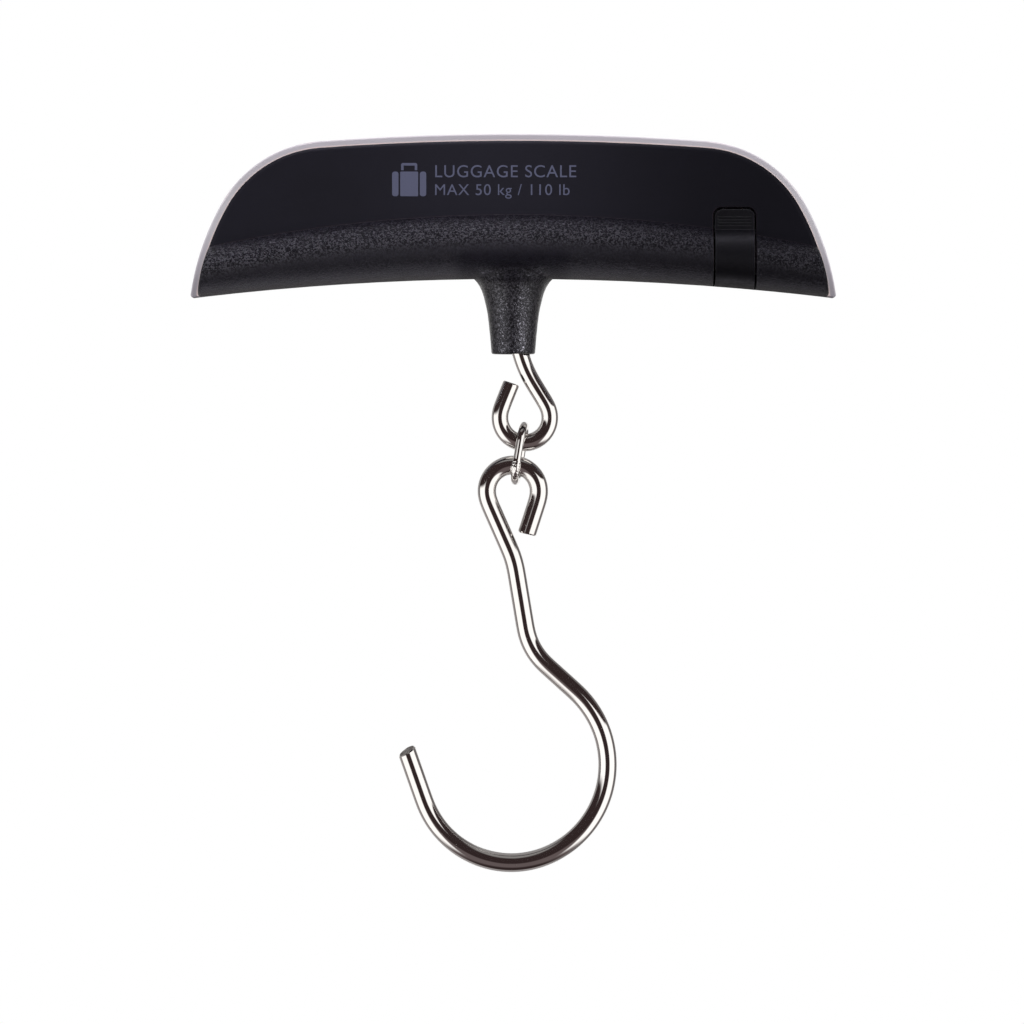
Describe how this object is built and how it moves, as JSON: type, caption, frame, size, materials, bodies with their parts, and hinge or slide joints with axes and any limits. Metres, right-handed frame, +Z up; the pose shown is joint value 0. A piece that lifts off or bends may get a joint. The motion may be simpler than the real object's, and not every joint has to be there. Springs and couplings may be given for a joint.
{
  "type": "digital luggage scale",
  "caption": "T-handle hand scale with display and keys in front, hinged cell door behind, swivelling wire eye, welded link and open wire hook for weighing luggage.",
  "frame": {"origin": "on the swivel axis at the middle height of the hand grip", "axes": "+Z up the swivel axis towards the hand, +X to the right seen from the battery-door side, +Y out of the display side"},
  "size_m": [0.1518, 0.0274, 0.1735],
  "materials": {
    "black_grained_plastic": "moulded leather grain, semi matt",
    "black_satin_plastic": "fine satin",
    "silver_paint": "satin silver paint",
    "clear_lens": "clear",
    "lcd_glass": "grey green display glass",
    "white_plastic": "moulded",
    "conductive_rubber": "striped elastomer",
    "green_board": "solder mask",
    "zinc_steel": "zinc plated",
    "black_epoxy": "epoxy",
    "component_ceramic": "ceramic",
    "switch_plunger": "moulded",
    "grey_button": "satin rubber",
    "milled_aluminium": "milled",
    "gauge_film": "polyimide film",
    "wire_red": "insulation",
    "wire_black": "insulation",
    "acetal_bush": "acetal",
    "cell_steel": "stamped steel",
    "nickel_strip": "nickel plated spring strip",
    "chrome_wire": "bright plated wire",
    "brass_washer": "turned"
  },
  "bodies": {
    "handle": {"rear_housing": "black_grained_plastic", "front_cover": "silver_paint", "display_window": "clear_lens", "lcd_frame": "white_plastic", "lcd_panel": "lcd_glass", "lcd_connector_strip": "conductive_rubber", "circuit_board": "green_board", "board_screws": "zinc_steel", "controller_chip": "black_epoxy", "board_components": "component_ceramic", "unit_switch_body": "black_epoxy", "power_switch_body": "black_epoxy", "load_cell_beam": "milled_aluminium", "strain_gauges": "gauge_film", "load_cell_screws": "zinc_steel", "load_cell_wires": "wire_red", "neck_bush": "acetal_bush", "battery_cell": "cell_steel", "battery_contact_positive": "nickel_strip", "battery_contact_negative": "nickel_strip", "battery_wires": "wire_black"},
    "swivel_eye": {"stem_hook": "chrome_wire", "stem_nut": "zinc_steel", "thrust_washer": "brass_washer"},
    "connecting_link": {"link_ring": "chrome_wire"},
    "load_hook": {"main_hook": "chrome_wire"},
    "unit_key": {"unit_button": "grey_button", "unit_switch_plunger": "switch_plunger"},
    "power_key": {"power_button": "grey_button", "power_switch_plunger": "switch_plunger"},
    "cell_door": {"battery_door": "black_satin_plastic"}
  },
  "joints": [
    {"name": "hook_swivel", "type": "hinge", "parent": "handle", "child": "swivel_eye", "pos_m": [0, 0, -0.0115], "axis": [0, 0, 1], "continuous": true},
    {"name": "link_swing", "type": "hinge", "parent": "swivel_eye", "child": "connecting_link", "pos_m": [0.00266, 0, -0.04546], "axis": [1, 0, 0], "range_deg": [-80, 80]},
    {"name": "hook_swing", "type": "hinge", "parent": "connecting_link", "child": "load_hook", "pos_m": [0.00045, 0, -0.05441], "axis": [0, 1, 0], "range_deg": [-50, 50]},
    {"name": "unit_button_press", "type": "slide", "parent": "handle", "child": "unit_key", "axis": [0, -1, 0], "range_m": [0, 0.0005]},
    {"name": "power_button_press", "type": "slide", "parent": "handle", "child": "power_key", "axis": [0, -1, 0], "range_m": [0, 0.0005]},
    {"name": "battery_door_hinge", "type": "hinge", "parent": "handle", "child": "cell_door", "pos_m": [0.0519, 0.0016, -0.00785], "axis": [1, 0, 0], "range_deg": [0, 75]}
  ]
}
